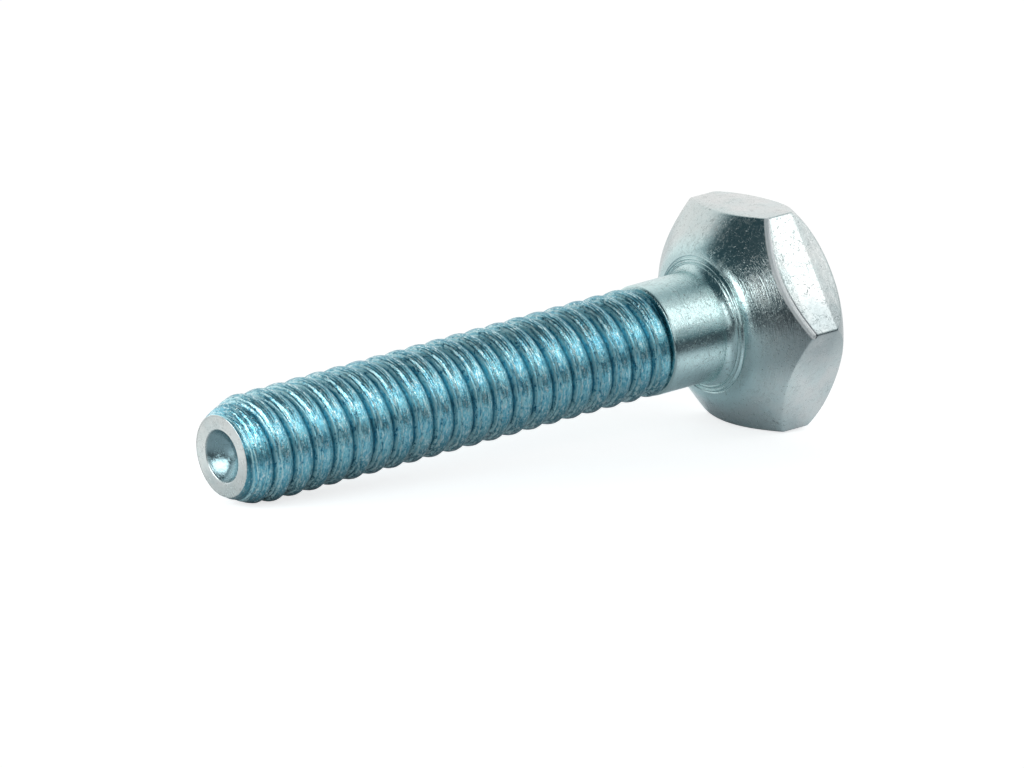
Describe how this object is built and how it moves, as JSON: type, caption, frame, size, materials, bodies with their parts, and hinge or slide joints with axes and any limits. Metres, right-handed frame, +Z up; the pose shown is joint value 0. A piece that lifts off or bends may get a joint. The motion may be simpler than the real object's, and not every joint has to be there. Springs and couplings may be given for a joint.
{
  "type": "countersunk hex bolt",
  "caption": "Bolt with a right-hand thread, short plain shank and hexagonal head with a conical seat and raised top; blue thread coat on bright zinc, lying at rest.",
  "frame": {"origin": "on the surface the bolt lies on, under the middle of its bounding box", "axes": "+Z up from that surface; +X from the tip towards the head, as seen from above; the bolt's own axis leans up from +X by about 5.4 degrees, because the head is wider than the thread"},
  "size_m": [0.0304, 0.011, 0.0097],
  "materials": {
    "zinc_steel": "bright blue-white zinc over steel, worn and pitted, with a teal-blue coat over the thread"
  },
  "bodies": {
    "root": {"bolt": "zinc_steel"}
  },
  "joints": []
}
